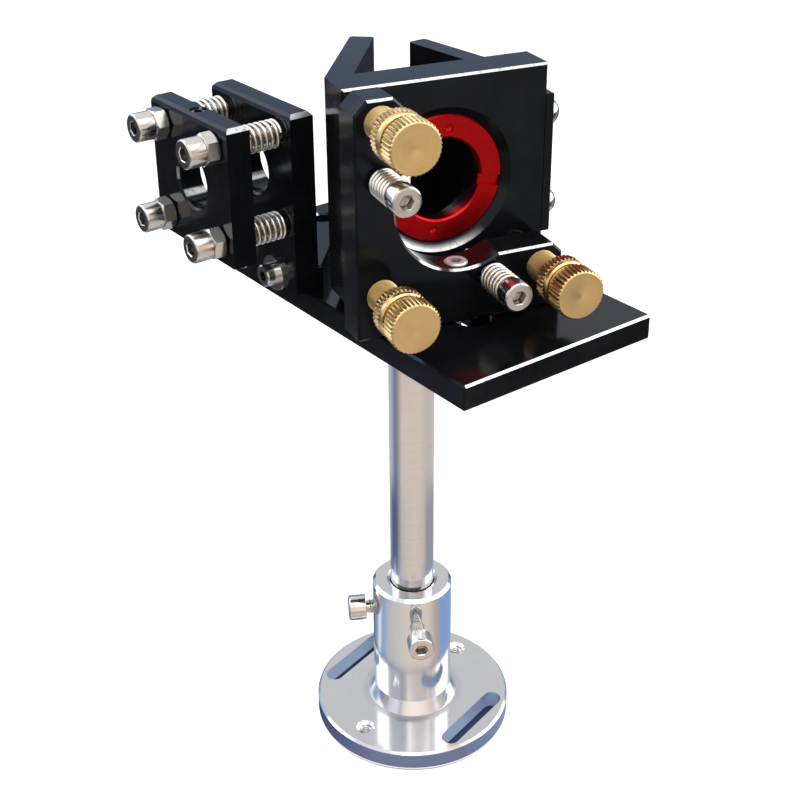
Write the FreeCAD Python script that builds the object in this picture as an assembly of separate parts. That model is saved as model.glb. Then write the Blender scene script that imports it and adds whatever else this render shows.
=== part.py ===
import FreeCAD, Part
import math
import os

# Beam combiner mount on a round post base.
# Frame in millimetres: the origin is the centre of the flange's underside,
# +Z runs up the post, +X across the base plate, and +Y along it, away from the adjusting screws.
# The optical head is modelled in its own frame (s along the block, n through it, z up).

# Round base
FLANGE_DIA = 55.0
FLANGE_THICK = 6.0
FLANGE_EDGE = 0.6
HUB_DIA = 22.0
HUB_TOP = 45.0
HUB_EDGE = 0.8
CONE_DIA = 25.4
CONE_HEIGHT = 3.8
BORE_FLOOR = 4.0
BASE_TURN = 14.5
SLOT_WIDTH = 5.0
SLOT_RIM = 3.8
SLOT_END_RIM = 1.56
FIX_HOLE_DIA = 3.4
FIX_SINK_DIA = 5.2
FIX_HOLE_RIM = 6.0
CLAMP_HEIGHT = 36.0
CLAMP_SPREAD = 135.0
CLAMP_HEAD_LENGTH = 4.8
CLAMP_NECK_FRONT = 4.8
CLAMP_NECK_SIDE = 2.2
CLAMP_TIP_GAP = 0.15

# Post
POST_DIA = 12.0
POST_LENGTH = 120.0
POST_GRIP = 31.8
POST_PLAY = 0.25
POST_EDGE = 0.8
POST_SCREW_DIA = 6.0
POST_SCREW_HEAD_DIA = 11.6
POST_SCREW_LENGTH = 16.0
POST_SCREW_SINK = 0.2
POST_SCREW_SOCKET = 4.0
POST_HOLE_EXTRA = 3.0

# Base plate
PLATE_WIDTH = 56.4
PLATE_LENGTH = 106.0
PLATE_NEAR_END = -54.9
PLATE_THICK = 6.3
PLATE_EDGE = 0.5
PLATE_SLOT_X = -5.6
PLATE_SLOT_WIDTH = 9.0
PLATE_SLOT_NEAR_END = -35.2
PLATE_SLOT_LENGTH = 19.0
PLATE_HOLE_DIA = 6.0
PLATE_HOLE_SINK = 0.6
PLATE_HOLE_X = 2.4
PLATE_HOLE_NEAR_Y = -33.5
PLATE_HOLE_SPACING = 76.0

# Pointer holder
HOLDER_MID_Y = 22.0
HOLDER_WIDTH = 35.0
HOLDER_FRONT_X = -31.1
REAR_THICK = 6.4
REAR_HEIGHT = 45.0
FRONT_THICK = 6.1
FRONT_HEIGHT = 33.5
FRONT_GAP = 10.6
HOLDER_EDGE = 0.5
HOLDER_CORNER = 1.0
POINTER_BORE_DIA = 13.5
POINTER_BORE_BELOW_TOP = 16.75
POINTER_BORE_EDGE = 0.5
ADJUST_SPACING_Y = 23.6
ADJUST_SPACING_Z = 22.8
ADJUST_HEAD_LENGTH = 4.5
ADJUST_HOLE_DIA = 5.0
ADJUST_END_RECESS = 0.6
SEAT_GAP = 0.3
SET_SCREW_LENGTH = 6.0
SET_SCREW_RECESS = 0.4
SET_SCREW_SOCKET = 2.0
FOOT_HEIGHT = 6.0
FOOT_DEPTH = 10.7
FOOT_CORNER = 9.4
FOOT_SCREW_DEPTH = 5.35
FOOT_SCREW_NEAR_Y = 22.0
FOOT_SCREW_SPACING = 12.5
FOOT_SCREW_GRIP = 5.0
REAR_SCREW_SPACING = 16.6
REAR_SCREW_GRIP = 7.5

# Optical head: place on the base plate, and the adjuster plate
HEAD_TURN = -13.54
HEAD_X = -7.58
HEAD_Y = -26.70
ADJUSTER_THICK = 8.4
HEAD_GAP = 3.3
ADJUSTER_LEFT = -2.0
ADJUSTER_SHORT = 1.0
ADJUSTER_RISE = 0.7
ARM_WIDTH = 11.6
BAR_HEIGHT = 15.6
CORNER_CUT = 2.5
CORNER_CUT_LEFT = 3.0
ADJUSTER_EDGE = 0.5
APERTURE_S = 24.4
APERTURE_HEIGHT = 30.45
CUTOUT_RADIUS = 17.1
CLAMP_SCREW_S = 24.0

# Thumbscrews, their lock rings and balls
KNOB_S = 4.0
KNOB_HEIGHT = 10.5
KNOB_BELOW_TOP = 4.5
KNOB_FROM_END = 6.6
SHANK_DIA = 7.6
KNURL_DIA = 12.0
KNURL_DEPTH = 0.42
KNURL_TEETH = 36
KNURL_BEVEL = 0.45
NECK_LENGTH = 8.0
LOCK_RING_LENGTH = 4.3
KNOB_GROOVE = 0.7
KNOB_GROOVE_DIA = 9.4
KNOB_LENGTH = 5.4
BALL_DIA = 4.0
BALL_GAP = 0.25
BALL_STANDOUT = 1.5
PIVOT_CONE_DEPTH = 2.0

# Pull screws and their springs
PULL_FROM_KNOB = 13.0
PULL_HEAD_STANDOFF = 9.8
PULL_GRIP = 8.0
PULL_HOLE_DIA = 5.5
SPRING_DIA = 7.0
SPRING_WIRE = 0.8
SPRING_GAP = 0.25
PULL_SPRING_COILS = 7
ADJUST_SPRING_COILS = 7

# Combiner block
BLOCK_LENGTH = 50.6
BLOCK_THICK = 10.5
BLOCK_LIFT = 3.9
BLOCK_HEIGHT = 51.1
BLOCK_EDGE = 0.5
LEFT_ARM_ANGLE = 59.0
LEFT_ARM_THICK = 6.0
LEFT_ARM_LENGTH = 35.8
RIGHT_ARM_ANGLE = 105.0
RIGHT_ARM_THICK = 5.0
RIGHT_ARM_LENGTH = 21.6
RIGHT_ARM_S = 39.5
ARM_ROUND = 0.8
RECESS_RADIUS = 17.4
RECESS_CONE = 1.3
RING_DIA = 30.8
RING_SEAT_DEPTH = 8.0
LIGHT_HOLE_DIA = 25.0

# Retaining ring
RING_HOLE_DIA = 19.7
RING_THICK = 3.0
RING_INSET = 1.0
RING_EDGE = 0.4
SPANNER_HOLE_DIA = 1.8
SPANNER_HOLE_RADIUS = 12.2
SPANNER_HOLE_LEAN = 9.0
RING_SLOT_WIDTH = 2.5
RING_SLOT_DEPTH = 1.2

# Side plate on the block's right end
SIDE_PLATE_THICK = 2.3
SIDE_PLATE_HEIGHT = 34.0
SIDE_PLATE_INSET = 0.4
SIDE_PLATE_EDGE = 0.4
SIDE_SCREW_SPACING = 22.4
SIDE_SCREW_HEAD_DIA = 5.7
SIDE_SCREW_HEAD_HEIGHT = 1.9
SIDE_SCREW_GRIP = 5.0

# Head clamp screw through the base plate's slot
CLAMP_SCREW_PROUD = 0.5
CLAMP_WASHER_DIA = 13.0
CLAMP_WASHER_THICK = 1.2
CLAMP_SCREW_END = 1.0

# Fasteners: thread, head, socket across flats and nut
M3 = {"dia": 3.0, "head_dia": 5.5, "head": 3.0, "socket": 2.5, "nut": 5.5, "nut_thick": 2.4}
M4 = {"dia": 4.0, "head_dia": 7.0, "head": 4.0, "socket": 3.0, "nut": 7.0, "nut_thick": 3.2}
SOCKET_DEPTH = 2.0
DEEP_SOCKET_DEPTH = 2.6
BUTTON_TOP_SHARE = 0.55
SCREW_EDGE = 0.35
SCREW_TIP = 0.4
NUT_EDGE = 0.35
WASHER_DIA = 9.0
WASHER_THICK = 0.8

# Radial clearances
THREAD_FIT = 0.02
RUN_FIT = 0.05
HOLE_FIT = 0.15

# Heights that follow from the stack of base, post and plate
POST_FOOT = HUB_TOP - POST_GRIP
PLATE_BOTTOM = POST_FOOT + POST_LENGTH
PLATE_TOP = PLATE_BOTTOM + PLATE_THICK

V = FreeCAD.Vector
ORIGIN = V(0, 0, 0)
UP = V(0, 0, 1)
DOWN = V(0, 0, -1)
ALONG_X = V(1, 0, 0)
ALONG_Y = V(0, 1, 0)


# Basic forms

def stand(shape, at, axis):
    """Moves a form made along +Z so that it starts at a point and runs along an axis."""
    shape.Placement = FreeCAD.Placement(at, FreeCAD.Rotation(UP, axis))
    return shape


def turned(profile, at=ORIGIN, axis=UP):
    """A solid turned about an axis from points of radius and height."""
    points = [V(radius, 0, height) for radius, height in profile]
    face = Part.Face(Part.makePolygon(points + points[:1]))
    return stand(face.revolve(ORIGIN, UP, 360), at, axis)


def rod(dia, length, at=ORIGIN, axis=UP, start_edge=0.0, end_edge=0.0):
    """A round bar with a bevel at each end where one is given."""
    radius = dia / 2
    profile = [(0, 0), (radius - start_edge, 0)]
    if start_edge:
        profile.append((radius, start_edge))
    profile.append((radius, length - end_edge))
    if end_edge:
        profile.append((radius - end_edge, length))
    profile.append((0, length))
    return turned(profile, at, axis)


def cone(start_dia, end_dia, length, at=ORIGIN, axis=UP):
    return turned([(0, 0), (start_dia / 2, 0), (end_dia / 2, length), (0, length)], at, axis)


def block(x, y, z):
    """A box from three (low, high) pairs."""
    return Part.makeBox(x[1] - x[0], y[1] - y[0], z[1] - z[0], V(x[0], y[0], z[0]))


def prism(points, direction):
    return Part.Face(Part.makePolygon(points + points[:1])).extrude(direction)


def hexagon(across_flats, length, at=ORIGIN, axis=UP):
    corner = across_flats / math.sqrt(3)
    turns = [math.radians(30 + 60 * i) for i in range(6)]
    points = [V(corner * math.cos(t), corner * math.sin(t), 0) for t in turns]
    return stand(prism(points, V(0, 0, length)), at, axis)


def obround(length, width, height):
    """A slot's form along X, centred on the origin and rising from it."""
    radius = width / 2
    half = length / 2 - radius
    outline = [
        Part.makeLine(V(-half, -radius, 0), V(half, -radius, 0)),
        Part.Arc(V(half, -radius, 0), V(half + radius, 0, 0), V(half, radius, 0)).toShape(),
        Part.makeLine(V(half, radius, 0), V(-half, radius, 0)),
        Part.Arc(V(-half, radius, 0), V(-half - radius, 0, 0), V(-half, -radius, 0)).toShape(),
    ]
    return Part.Face(Part.Wire(outline)).extrude(V(0, 0, height))


def bevel(shape, size, chosen):
    """Bevels the straight edges whose two ends both satisfy a test."""
    edges = []
    for edge in shape.Edges:
        if len(edge.Vertexes) == 2 and all(chosen(vertex.Point) for vertex in edge.Vertexes):
            edges.append(edge)
    return shape.makeChamfer(size, edges)


def bevelled_plate(outline, edge, depth):
    """A plate of any outline, as deep as a vector, with its first face's edges bevelled."""
    step = depth * (edge / depth.Length)
    inset = outline.makeOffset2D(-edge, join=2)
    full = outline.copy()
    full.translate(step)
    rim = Part.makeLoft([inset, full], True, True)
    return rim.fuse(Part.Face(full).extrude(depth - step)).removeSplitter()


def near(a, b):
    return abs(a - b) < 1e-6


def drill(shape, *tools):
    for tool in tools:
        shape = shape.cut(tool)
    return shape


# Fasteners

def cap_screw(size, length, at, axis, head=None, socket_depth=SOCKET_DEPTH):
    """A socket cap screw: its head sits on a point and its shank runs along an axis."""
    head = size["head"] if head is None else head
    radius = size["dia"] / 2
    rim = size["head_dia"] / 2
    body = turned([
        (0, -head), (rim - SCREW_EDGE, -head), (rim, SCREW_EDGE - head), (rim, 0),
        (radius, 0), (radius, length - SCREW_TIP), (radius - SCREW_TIP, length), (0, length),
    ])
    body = body.cut(hexagon(size["socket"], socket_depth, V(0, 0, -head)))
    return stand(body, at, axis)


def button_screw(dia, length, head_dia, head_height, socket, at, axis):
    """A screw with a domed head."""
    rim = head_dia / 2
    body = turned([
        (0, -head_height), (rim * BUTTON_TOP_SHARE, -head_height), (rim * 0.85, -head_height * 0.68),
        (rim, -head_height * 0.2), (rim, 0), (dia / 2, 0), (dia / 2, length), (0, length),
    ])
    body = body.cut(hexagon(socket, head_height * 0.6, V(0, 0, -head_height)))
    return stand(body, at, axis)


def nut(size, at, axis):
    """A hexagon nut with its corners turned off at both faces."""
    thick = size["nut_thick"]
    corner = size["nut"] / math.sqrt(3)
    envelope = turned([
        (0, 0), (corner - NUT_EDGE, 0), (corner, NUT_EDGE), (corner, thick - NUT_EDGE),
        (corner - NUT_EDGE, thick), (0, thick),
    ])
    body = hexagon(size["nut"], thick).common(envelope)
    body = body.cut(rod(size["dia"] + 2 * RUN_FIT, thick))
    return stand(body, at, axis)


def washer(dia, hole, thick, at, axis):
    return rod(dia, thick, at, axis).cut(rod(hole, thick, at, axis))


def spring(dia, wire, length, coils, at, axis):
    """A compression spring's envelope: a sleeve as thick as the wire, with a ridge for each coil."""
    outer = dia / 2
    valley = outer - wire / 2
    pitch = length / coils
    profile = [(outer - wire, 0)]
    for i in range(coils):
        profile.append((valley, i * pitch))
        profile.append((outer, (i + 0.5) * pitch))
    profile += [(valley, length), (outer - wire, length)]
    return turned(profile, at, axis)


def knurled(length, at, axis):
    """A straight-knurled band with bevelled ends."""
    radius = KNURL_DIA / 2
    points = []
    for i in range(2 * KNURL_TEETH):
        reach = radius - KNURL_DEPTH * (i % 2)
        turn = math.pi * i / KNURL_TEETH
        points.append(V(reach * math.cos(turn), reach * math.sin(turn), 0))
    envelope = rod(KNURL_DIA, length, start_edge=KNURL_BEVEL, end_edge=KNURL_BEVEL)
    return stand(prism(points, V(0, 0, length)).common(envelope), at, axis)


# Round base, clamp screws and post

def around(radius, angle, height):
    """A point at an angle from the line through the flange's two fixing holes."""
    turn = math.radians(BASE_TURN + angle)
    return V(radius * math.cos(turn), radius * math.sin(turn), height)


def base_flange():
    rim = FLANGE_DIA / 2
    hub = HUB_DIA / 2
    body = turned([
        (0, 0), (rim - FLANGE_EDGE, 0), (rim, FLANGE_EDGE), (rim, FLANGE_THICK - FLANGE_EDGE),
        (rim - FLANGE_EDGE, FLANGE_THICK), (CONE_DIA / 2, FLANGE_THICK),
        (hub, FLANGE_THICK + CONE_HEIGHT), (hub, HUB_TOP - HUB_EDGE),
        (hub - HUB_EDGE, HUB_TOP), (0, HUB_TOP),
    ])
    bore = POST_DIA + 2 * POST_PLAY
    body = body.cut(rod(bore, HUB_TOP, V(0, 0, BORE_FLOOR)))
    mouth = cone(bore, bore + 2 * HUB_EDGE, HUB_EDGE / 2, V(0, 0, HUB_TOP - HUB_EDGE / 2))
    body = body.cut(mouth)
    offset = rim - SLOT_RIM - SLOT_WIDTH / 2
    end_reach = rim - SLOT_END_RIM - SLOT_WIDTH / 2
    slot_length = 2 * math.sqrt(end_reach ** 2 - offset ** 2) + SLOT_WIDTH
    for side in (-90, 90):
        slot = obround(slot_length, SLOT_WIDTH, FLANGE_THICK)
        slot.Placement = FreeCAD.Placement(
            around(offset, side, 0), FreeCAD.Rotation(UP, BASE_TURN))
        body = body.cut(slot)
    for side in (0, 180):
        depth = (FIX_SINK_DIA - FIX_HOLE_DIA) / 2
        body = body.cut(rod(FIX_HOLE_DIA, FLANGE_THICK, around(rim - FIX_HOLE_RIM, side, 0)))
        body = body.cut(cone(FIX_HOLE_DIA, FIX_SINK_DIA, depth,
                             around(rim - FIX_HOLE_RIM, side, FLANGE_THICK - depth)))
    for side in (-CLAMP_SPREAD, CLAMP_SPREAD):
        body = body.cut(rod(M4["dia"] + 2 * RUN_FIT, HUB_DIA / 2,
                            V(0, 0, CLAMP_HEIGHT), around(1, side, 0)))
    return body


def base_clamp_screw(side, neck):
    """A screw that presses on the post, with its head a neck's length off the hub."""
    seat = HUB_DIA / 2 + neck
    tip = POST_DIA / 2 + CLAMP_TIP_GAP
    return cap_screw(M4, seat - tip, around(seat, side, CLAMP_HEIGHT),
                     around(-1, side, 0), head=CLAMP_HEAD_LENGTH, socket_depth=DEEP_SOCKET_DEPTH)


def post():
    body = rod(POST_DIA, POST_LENGTH, V(0, 0, POST_FOOT), UP, POST_EDGE, POST_EDGE / 4)
    depth = POST_SCREW_LENGTH - PLATE_THICK + POST_HOLE_EXTRA
    return body.cut(rod(POST_SCREW_DIA + 2 * THREAD_FIT, depth, V(0, 0, PLATE_BOTTOM - depth)))


def post_screw():
    """A countersunk screw down through the base plate into the post."""
    sink = (POST_SCREW_HEAD_DIA - POST_SCREW_DIA) / 2
    body = turned([
        (0, 0), (POST_SCREW_HEAD_DIA / 2, 0), (POST_SCREW_DIA / 2, sink),
        (POST_SCREW_DIA / 2, POST_SCREW_LENGTH - SCREW_TIP),
        (POST_SCREW_DIA / 2 - SCREW_TIP, POST_SCREW_LENGTH), (0, POST_SCREW_LENGTH),
    ])
    body = body.cut(hexagon(POST_SCREW_SOCKET, SOCKET_DEPTH))
    return stand(body, V(0, 0, PLATE_TOP - POST_SCREW_SINK), DOWN)


# Base plate

def foot_screw_x():
    return HOLDER_FRONT_X + REAR_THICK + FOOT_SCREW_DEPTH


def foot_screw_ys():
    return (FOOT_SCREW_NEAR_Y, FOOT_SCREW_NEAR_Y + FOOT_SCREW_SPACING)


def base_plate():
    far_end = PLATE_NEAR_END + PLATE_LENGTH
    half = PLATE_WIDTH / 2
    body = block((-half, half), (PLATE_NEAR_END, far_end), (PLATE_BOTTOM, PLATE_TOP))
    body = bevel(body, PLATE_EDGE, lambda p: near(p.z, PLATE_TOP) or near(p.z, PLATE_BOTTOM))
    sink = (POST_SCREW_HEAD_DIA - POST_SCREW_DIA) / 2
    body = drill(
        body,
        rod(POST_SCREW_DIA + 2 * HOLE_FIT, PLATE_THICK, V(0, 0, PLATE_BOTTOM)),
        turned([
            (0, 0), (POST_SCREW_DIA / 2 + HOLE_FIT, 0),
            (POST_SCREW_HEAD_DIA / 2 + HOLE_FIT, sink),
            (POST_SCREW_HEAD_DIA / 2 + HOLE_FIT, sink + POST_SCREW_SINK), (0, sink + POST_SCREW_SINK),
        ], V(0, 0, PLATE_TOP - sink - POST_SCREW_SINK)),
    )
    slot = obround(PLATE_SLOT_LENGTH, PLATE_SLOT_WIDTH, PLATE_THICK)
    slot.Placement = FreeCAD.Placement(
        V(PLATE_SLOT_X, PLATE_SLOT_NEAR_END + PLATE_SLOT_LENGTH / 2, PLATE_BOTTOM),
        FreeCAD.Rotation(UP, 90))
    body = body.cut(slot)
    for y in (PLATE_HOLE_NEAR_Y, PLATE_HOLE_NEAR_Y + PLATE_HOLE_SPACING):
        centre = V(PLATE_HOLE_X, y, PLATE_BOTTOM)
        mouth = V(PLATE_HOLE_X, y, PLATE_TOP - PLATE_HOLE_SINK)
        body = body.cut(rod(PLATE_HOLE_DIA, PLATE_THICK, centre))
        body = body.cut(cone(PLATE_HOLE_DIA, PLATE_HOLE_DIA + 2 * PLATE_HOLE_SINK,
                             PLATE_HOLE_SINK, mouth))
    for y in foot_screw_ys():
        body = body.cut(rod(M4["dia"] + 2 * THREAD_FIT, PLATE_THICK,
                            V(foot_screw_x(), y, PLATE_BOTTOM)))
    return body


# Pointer holder

HOLDER_Y = (HOLDER_MID_Y - HOLDER_WIDTH / 2, HOLDER_MID_Y + HOLDER_WIDTH / 2)
HOLDER_TOP = PLATE_TOP + REAR_HEIGHT
REAR_X = (HOLDER_FRONT_X, HOLDER_FRONT_X + REAR_THICK)
FRONT_X = (HOLDER_FRONT_X - FRONT_GAP - FRONT_THICK, HOLDER_FRONT_X - FRONT_GAP)
POINTER_Z = HOLDER_TOP - POINTER_BORE_BELOW_TOP
REAR_SCREW_Z = PLATE_TOP + FOOT_HEIGHT / 2


def adjust_points():
    """The four adjusting screws' places, named as seen from their heads."""
    y = (HOLDER_MID_Y - ADJUST_SPACING_Y / 2, HOLDER_MID_Y + ADJUST_SPACING_Y / 2)
    z = (POINTER_Z - ADJUST_SPACING_Z / 2, POINTER_Z + ADJUST_SPACING_Z / 2)
    return {
        "upper_left": (y[1], z[1]), "upper_right": (y[0], z[1]),
        "lower_left": (y[1], z[0]), "lower_right": (y[0], z[0]),
    }


def rear_screw_places():
    half = REAR_SCREW_SPACING / 2
    return (HOLDER_MID_Y - half, HOLDER_MID_Y + half)


def holder_plate(x, z):
    """A plate of the holder with its top corners and face edges broken, and its bore."""
    body = block(x, HOLDER_Y, z)
    body = bevel(body, HOLDER_CORNER, lambda p: near(p.z, z[1]) and (
        near(p.y, HOLDER_Y[0]) or near(p.y, HOLDER_Y[1])))
    body = bevel(body, HOLDER_EDGE, lambda p: near(p.x, x[0]) and p.z > z[0] + HOLDER_CORNER)
    bore = rod(POINTER_BORE_DIA, x[1] - x[0], V(x[0], HOLDER_MID_Y, POINTER_Z), ALONG_X)
    mouth = cone(POINTER_BORE_DIA + 2 * POINTER_BORE_EDGE, POINTER_BORE_DIA, POINTER_BORE_EDGE,
                 V(x[0], HOLDER_MID_Y, POINTER_Z), ALONG_X)
    return drill(body, bore, mouth)


def pointer_rear_plate():
    body = holder_plate(REAR_X, (PLATE_TOP, HOLDER_TOP))
    for y, z in adjust_points().values():
        body = body.cut(rod(M4["dia"] + 2 * RUN_FIT, REAR_THICK, V(REAR_X[0], y, z), ALONG_X))
    for y in rear_screw_places():
        body = body.cut(rod(M3["dia"] + 2 * HOLE_FIT, REAR_THICK,
                            V(REAR_X[0], y, REAR_SCREW_Z), ALONG_X))
    return body


def pointer_front_plate():
    body = holder_plate(FRONT_X, (HOLDER_TOP - FRONT_HEIGHT, HOLDER_TOP))
    for y, z in adjust_points().values():
        body = body.cut(rod(ADJUST_HOLE_DIA, FRONT_THICK, V(FRONT_X[0], y, z), ALONG_X))
    return body.cut(rod(M4["dia"] + 2 * RUN_FIT, POINTER_BORE_BELOW_TOP,
                        V((FRONT_X[0] + FRONT_X[1]) / 2, HOLDER_MID_Y, POINTER_Z)))


def pointer_set_screw():
    top = HOLDER_TOP - SET_SCREW_RECESS
    body = rod(M4["dia"], SET_SCREW_LENGTH, ORIGIN, UP, SCREW_TIP, SCREW_TIP)
    body = body.cut(hexagon(SET_SCREW_SOCKET, SOCKET_DEPTH))
    return stand(body, V((FRONT_X[0] + FRONT_X[1]) / 2, HOLDER_MID_Y, top), DOWN)


def adjust_nut(y, z):
    return nut(M4, V(FRONT_X[0] - SEAT_GAP - M4["nut_thick"], y, z), ALONG_X)


def adjust_screw(y, z):
    seat = FRONT_X[0] - SEAT_GAP - M4["nut_thick"] - RUN_FIT
    return cap_screw(M4, REAR_X[1] - ADJUST_END_RECESS - seat, V(seat, y, z), ALONG_X,
                     head=ADJUST_HEAD_LENGTH, socket_depth=DEEP_SOCKET_DEPTH)


def adjust_spring(y, z):
    return spring(SPRING_DIA, SPRING_WIRE, FRONT_GAP - 2 * SPRING_GAP, ADJUST_SPRING_COILS,
                       V(FRONT_X[1] + SPRING_GAP, y, z), ALONG_X)


def pointer_foot():
    """A bar behind the rear plate, with one corner cut off beside the block's left arm."""
    back = REAR_X[1] + FOOT_DEPTH
    points = [
        V(REAR_X[1], HOLDER_Y[0], PLATE_TOP), V(back - FOOT_CORNER, HOLDER_Y[0], PLATE_TOP),
        V(back, HOLDER_Y[0] + FOOT_CORNER, PLATE_TOP), V(back, HOLDER_Y[1], PLATE_TOP),
        V(REAR_X[1], HOLDER_Y[1], PLATE_TOP),
    ]
    body = prism(points, V(0, 0, FOOT_HEIGHT))
    body = bevel(body, HOLDER_EDGE, lambda p: near(p.z, PLATE_TOP + FOOT_HEIGHT))
    for y in foot_screw_ys():
        body = body.cut(rod(M4["dia"] + 2 * HOLE_FIT, FOOT_HEIGHT, V(foot_screw_x(), y, PLATE_TOP)))
    for y in rear_screw_places():
        body = body.cut(rod(M3["dia"] + 2 * THREAD_FIT, REAR_SCREW_GRIP + 1,
                            V(REAR_X[1], y, REAR_SCREW_Z), ALONG_X))
    return body


def foot_screws():
    return [cap_screw(M4, FOOT_HEIGHT + FOOT_SCREW_GRIP,
                      V(foot_screw_x(), y, PLATE_TOP + FOOT_HEIGHT), DOWN)
            for y in foot_screw_ys()]


def rear_plate_washers():
    return [washer(WASHER_DIA, M3["dia"] + 2 * HOLE_FIT, WASHER_THICK,
                   V(REAR_X[0] - WASHER_THICK, y, REAR_SCREW_Z), ALONG_X)
            for y in rear_screw_places()]


def rear_plate_screws():
    return [cap_screw(M3, WASHER_THICK + REAR_THICK + REAR_SCREW_GRIP,
                      V(REAR_X[0] - WASHER_THICK, y, REAR_SCREW_Z), ALONG_X)
            for y in rear_screw_places()]


# Optical head, in its own frame: s is X, n is Y, and z is measured in the part's frame

PLATE_N = (-HEAD_GAP - ADJUSTER_THICK, -HEAD_GAP)
CLAMP_POINT = V(CLAMP_SCREW_S, (PLATE_N[0] + PLATE_N[1]) / 2, 0)
APERTURE_Z = PLATE_TOP + APERTURE_HEIGHT
INTO_BLOCK = ALONG_Y
TO_FRONT = V(0, -1, 0)
BLOCK_Z = (PLATE_TOP + BLOCK_LIFT, PLATE_TOP + BLOCK_LIFT + BLOCK_HEIGHT)
KNOB_Z = PLATE_TOP + KNOB_HEIGHT
TOP_KNOB_Z = BLOCK_Z[1] - KNOB_BELOW_TOP
SIDE_KNOB_S = BLOCK_LENGTH - KNOB_FROM_END
KNOB_PLACES = {
    "corner": (KNOB_S, KNOB_Z),
    "top": (KNOB_S, TOP_KNOB_Z),
    "side": (SIDE_KNOB_S, KNOB_Z),
}
PULL_PLACES = {
    "top": (KNOB_S, TOP_KNOB_Z - PULL_FROM_KNOB),
    "side": (SIDE_KNOB_S - PULL_FROM_KNOB, KNOB_Z),
}


def in_head(shape):
    """Carries a form from the head's own frame to its place on the base plate."""
    turn = FreeCAD.Rotation(UP, HEAD_TURN)
    corner = V(HEAD_X, HEAD_Y, 0) - turn.multVec(CLAMP_POINT)
    placed = shape.copy()
    placed.Placement = FreeCAD.Placement(corner, turn).multiply(placed.Placement)
    return placed


def ball_n(name):
    """How far in front of the block a ball's centre lies: the corner one sits in a cone."""
    reach = BALL_DIA / 2 + BALL_GAP
    if name == "corner":
        return PIVOT_CONE_DEPTH - reach * math.sqrt(2)
    return -reach


def adjuster_plate():
    """An L-shaped plate with a round cut-out that bites into its arm and its bar."""
    left = ADJUSTER_LEFT
    right = BLOCK_LENGTH - ADJUSTER_SHORT
    inner = left + ARM_WIDTH
    top = BLOCK_Z[1] + ADJUSTER_RISE
    bar = PLATE_TOP + BAR_HEIGHT
    bar_meets = APERTURE_S + math.sqrt(CUTOUT_RADIUS ** 2 - (APERTURE_Z - bar) ** 2)
    arm_meets = APERTURE_Z + math.sqrt(CUTOUT_RADIUS ** 2 - (APERTURE_S - inner) ** 2)
    n = PLATE_N[0]
    corners = [
        V(inner, n, arm_meets), V(inner, n, top - CORNER_CUT), V(inner - CORNER_CUT, n, top),
        V(left + CORNER_CUT_LEFT, n, top), V(left, n, top - CORNER_CUT_LEFT),
        V(left, n, PLATE_TOP), V(right, n, PLATE_TOP),
        V(right, n, bar - CORNER_CUT), V(right - CORNER_CUT, n, bar),
        V(bar_meets, n, bar),
    ]
    outline = [Part.makeLine(a, b) for a, b in zip(corners, corners[1:])]
    diagonal = CUTOUT_RADIUS / math.sqrt(2)
    middle = V(APERTURE_S - diagonal, n, APERTURE_Z - diagonal)
    outline.append(Part.Arc(corners[-1], middle, corners[0]).toShape())
    body = bevelled_plate(Part.Wire(outline), ADJUSTER_EDGE, V(0, ADJUSTER_THICK, 0))
    for s, z in KNOB_PLACES.values():
        body = body.cut(rod(SHANK_DIA + 2 * RUN_FIT, ADJUSTER_THICK, V(s, n, z), INTO_BLOCK))
    for s, z in PULL_PLACES.values():
        body = body.cut(rod(PULL_HOLE_DIA, ADJUSTER_THICK, V(s, n, z), INTO_BLOCK))
    seat = head_clamp_seat()
    well = rod(M3["head_dia"] + 2 * HOLE_FIT, CUTOUT_RADIUS, CLAMP_POINT + V(0, 0, seat))
    hole = rod(M3["dia"] + 2 * HOLE_FIT, seat - PLATE_TOP, CLAMP_POINT + V(0, 0, PLATE_TOP))
    return drill(body, well, hole)


def head_clamp_seat():
    """The height under the clamp screw's head, which stands a little above the cut-out's wall."""
    return APERTURE_Z - CUTOUT_RADIUS + CLAMP_SCREW_PROUD - M3["head"]


def head_clamp_screw():
    end = PLATE_BOTTOM - CLAMP_WASHER_THICK - M3["nut_thick"] - CLAMP_SCREW_END
    return cap_screw(M3, head_clamp_seat() - end, CLAMP_POINT + V(0, 0, head_clamp_seat()), DOWN)


def head_clamp_washer():
    return washer(CLAMP_WASHER_DIA, M3["dia"] + 2 * HOLE_FIT, CLAMP_WASHER_THICK,
                  CLAMP_POINT + V(0, 0, PLATE_BOTTOM), DOWN)


def head_clamp_nut():
    return nut(M3, CLAMP_POINT + V(0, 0, PLATE_BOTTOM - CLAMP_WASHER_THICK), DOWN)


def thumbscrew(name):
    """A knob, a groove and a shank, with a pocket for the ball in the shank's end."""
    s, z = KNOB_PLACES[name]
    back = NECK_LENGTH + LOCK_RING_LENGTH + KNOB_GROOVE
    knob_start = PLATE_N[0] - back
    end = ball_n(name) + BALL_DIA / 2 - BALL_STANDOUT
    knob = knurled(KNOB_LENGTH, V(s, knob_start, z), TO_FRONT)
    groove = rod(KNOB_GROOVE_DIA, KNOB_GROOVE, V(s, knob_start, z), INTO_BLOCK)
    shank = rod(SHANK_DIA, end - knob_start, V(s, knob_start, z), INTO_BLOCK, 0, SCREW_EDGE)
    floor = ball_n(name) - BALL_DIA / 2 - RUN_FIT
    pocket = rod(BALL_DIA + 2 * RUN_FIT, end - floor, V(s, floor, z), INTO_BLOCK)
    return knob.fuse([groove, shank]).removeSplitter().cut(pocket)


def lock_ring(name):
    s, z = KNOB_PLACES[name]
    start = V(s, PLATE_N[0] - NECK_LENGTH, z)
    body = knurled(LOCK_RING_LENGTH, start, TO_FRONT)
    return body.cut(rod(SHANK_DIA + 2 * RUN_FIT, LOCK_RING_LENGTH, start, TO_FRONT))


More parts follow.
